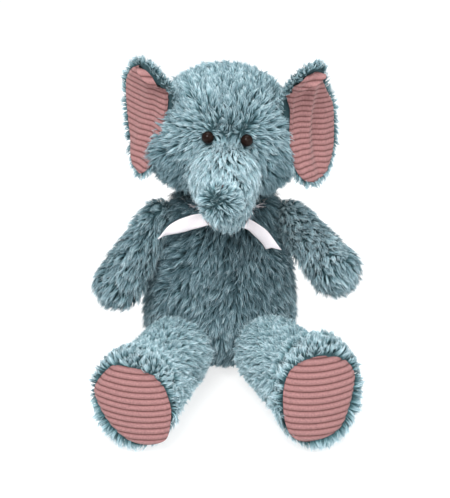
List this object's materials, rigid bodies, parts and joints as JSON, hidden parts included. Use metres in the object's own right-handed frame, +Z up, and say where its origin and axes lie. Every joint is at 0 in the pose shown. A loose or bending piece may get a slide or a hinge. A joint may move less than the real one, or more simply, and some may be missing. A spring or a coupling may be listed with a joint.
{
  "type": "stuffed elephant",
  "caption": "Seated stuffed elephant with long pile, corduroy ears and foot pads, safety eyes and a ribbon, jointed at neck, ears, trunk, limbs and tail.",
  "frame": {"origin": "middle of the seat, on the surface the elephant sits on", "axes": "+Z up, the elephant faces -Y, its own left side is +X"},
  "size_m": [0.302, 0.336, 0.3902],
  "materials": {
    "plush": "matte",
    "corduroy": "matte",
    "satin": "satin",
    "stuffing": "matte",
    "seam_cloth": "matte",
    "eye_plastic": "gloss",
    "washer_plastic": "matte"
  },
  "bodies": {
    "torso": {"torso_left_panel": "plush", "torso_right_panel": "plush", "torso_stuffing": "stuffing", "ribbon_collar": "satin", "ribbon_knot": "satin"},
    "neck": {"neck_gusset": "plush"},
    "head": {"head_cover": "plush", "head_stuffing": "stuffing", "left_eye": "eye_plastic", "right_eye": "eye_plastic", "left_eye_washer": "washer_plastic", "right_eye_washer": "washer_plastic"},
    "left_ear": {"left_ear_back": "plush", "left_ear_lining": "corduroy"},
    "right_ear": {"right_ear_back": "plush", "right_ear_lining": "corduroy"},
    "trunk": {"trunk_cover": "plush", "trunk_lining": "corduroy", "trunk_stuffing": "stuffing"},
    "trunk_tip": {"trunk_tip_cover": "plush", "trunk_tip_lining": "corduroy", "trunk_tip_stuffing": "stuffing"},
    "tail": {"tail": "plush"},
    "ribbon_left": {"ribbon_left_tail": "satin"},
    "ribbon_right": {"ribbon_right_tail": "satin"},
    "left_shoulder": {"left_arm_seam": "seam_cloth"},
    "left_arm": {"left_arm_cover": "plush", "left_arm_stuffing": "stuffing"},
    "left_hip": {"left_leg_seam": "seam_cloth"},
    "left_leg": {"left_leg_cover": "plush", "left_leg_stuffing": "stuffing", "left_foot_pad": "corduroy"},
    "right_shoulder": {"right_arm_seam": "seam_cloth"},
    "right_arm": {"right_arm_cover": "plush", "right_arm_stuffing": "stuffing"},
    "right_hip": {"right_leg_seam": "seam_cloth"},
    "right_leg": {"right_leg_cover": "plush", "right_leg_stuffing": "stuffing", "right_foot_pad": "corduroy"}
  },
  "joints": [
    {"name": "head_turn", "type": "hinge", "parent": "torso", "child": "neck", "pos_m": [0.003, -0.012, 0.228], "axis": [0, 0, 1], "range_deg": [-30, 30], "stiffness_Nm_per_rad": 0.6},
    {"name": "head_nod", "type": "hinge", "parent": "neck", "child": "head", "pos_m": [0.003, -0.012, 0.228], "axis": [-1, 0, 0], "range_deg": [-8, 15], "stiffness_Nm_per_rad": 1.5},
    {"name": "trunk_lift", "type": "hinge", "parent": "head", "child": "trunk", "pos_m": [0.00197, -0.087, 0.26898], "axis": [-0.9962, 0, 0.0872], "range_deg": [-10, 20], "stiffness_Nm_per_rad": 0.3},
    {"name": "trunk_curl", "type": "hinge", "parent": "trunk", "child": "trunk_tip", "pos_m": [0.00512, -0.127, 0.24762], "axis": [-0.9962, 0, 0.0872], "range_deg": [-10, 25], "stiffness_Nm_per_rad": 0.1},
    {"name": "right_ear_fold", "type": "hinge", "parent": "head", "child": "right_ear", "pos_m": [-0.05274, -0.0715, 0.31492], "axis": [0.0872, 0, 0.9962], "range_deg": [-5, 30], "stiffness_Nm_per_rad": 0.08},
    {"name": "left_ear_fold", "type": "hinge", "parent": "head", "child": "left_ear", "pos_m": [0.0646, -0.0715, 0.31369], "axis": [-0.0872, 0, -0.9962], "range_deg": [-5, 30], "stiffness_Nm_per_rad": 0.08},
    {"name": "right_arm_swing", "type": "hinge", "parent": "torso", "child": "right_shoulder", "pos_m": [-0.071, -0.016, 0.196], "axis": [-1, 0, 0], "range_deg": [-10, 40], "stiffness_Nm_per_rad": 0.25},
    {"name": "right_arm_raise", "type": "hinge", "parent": "right_shoulder", "child": "right_arm", "pos_m": [-0.071, -0.016, 0.196], "axis": [0, 1, 0], "range_deg": [0, 45], "stiffness_Nm_per_rad": 0.25},
    {"name": "left_arm_swing", "type": "hinge", "parent": "torso", "child": "left_shoulder", "pos_m": [0.077, -0.016, 0.195], "axis": [-1, 0, 0], "range_deg": [-10, 40], "stiffness_Nm_per_rad": 0.25},
    {"name": "left_arm_raise", "type": "hinge", "parent": "left_shoulder", "child": "left_arm", "pos_m": [0.077, -0.016, 0.195], "axis": [0, -1, 0], "range_deg": [0, 45], "stiffness_Nm_per_rad": 0.25},
    {"name": "right_leg_lift", "type": "hinge", "parent": "torso", "child": "right_hip", "pos_m": [-0.055, -0.084, 0.0505], "axis": [-1, 0, 0], "range_deg": [0, 25], "stiffness_Nm_per_rad": 0.5},
    {"name": "right_leg_splay", "type": "hinge", "parent": "right_hip", "child": "right_leg", "pos_m": [-0.055, -0.084, 0.0505], "axis": [0, 0, -1], "range_deg": [-3, 20], "stiffness_Nm_per_rad": 0.5},
    {"name": "left_leg_lift", "type": "hinge", "parent": "torso", "child": "left_hip", "pos_m": [0.057, -0.084, 0.0525], "axis": [-1, 0, 0], "range_deg": [0, 25], "stiffness_Nm_per_rad": 0.5},
    {"name": "left_leg_splay", "type": "hinge", "parent": "left_hip", "child": "left_leg", "pos_m": [0.057, -0.084, 0.0525], "axis": [0, 0, 1], "range_deg": [-3, 20], "stiffness_Nm_per_rad": 0.5},
    {"name": "tail_lift", "type": "hinge", "parent": "torso", "child": "tail", "pos_m": [-0.002, 0.091, 0.052], "axis": [1, 0, 0], "range_deg": [0, 60], "stiffness_Nm_per_rad": 0.02},
    {"name": "ribbon_right_swing", "type": "hinge", "parent": "torso", "child": "ribbon_right", "pos_m": [-0.008, -0.068, 0.209], "axis": [0, 0, 1], "range_deg": [0, 15], "stiffness_Nm_per_rad": 0.004},
    {"name": "ribbon_left_swing", "type": "hinge", "parent": "torso", "child": "ribbon_left", "pos_m": [0.015, -0.068, 0.209], "axis": [0, 0, -1], "range_deg": [0, 15], "stiffness_Nm_per_rad": 0.004}
  ]
}
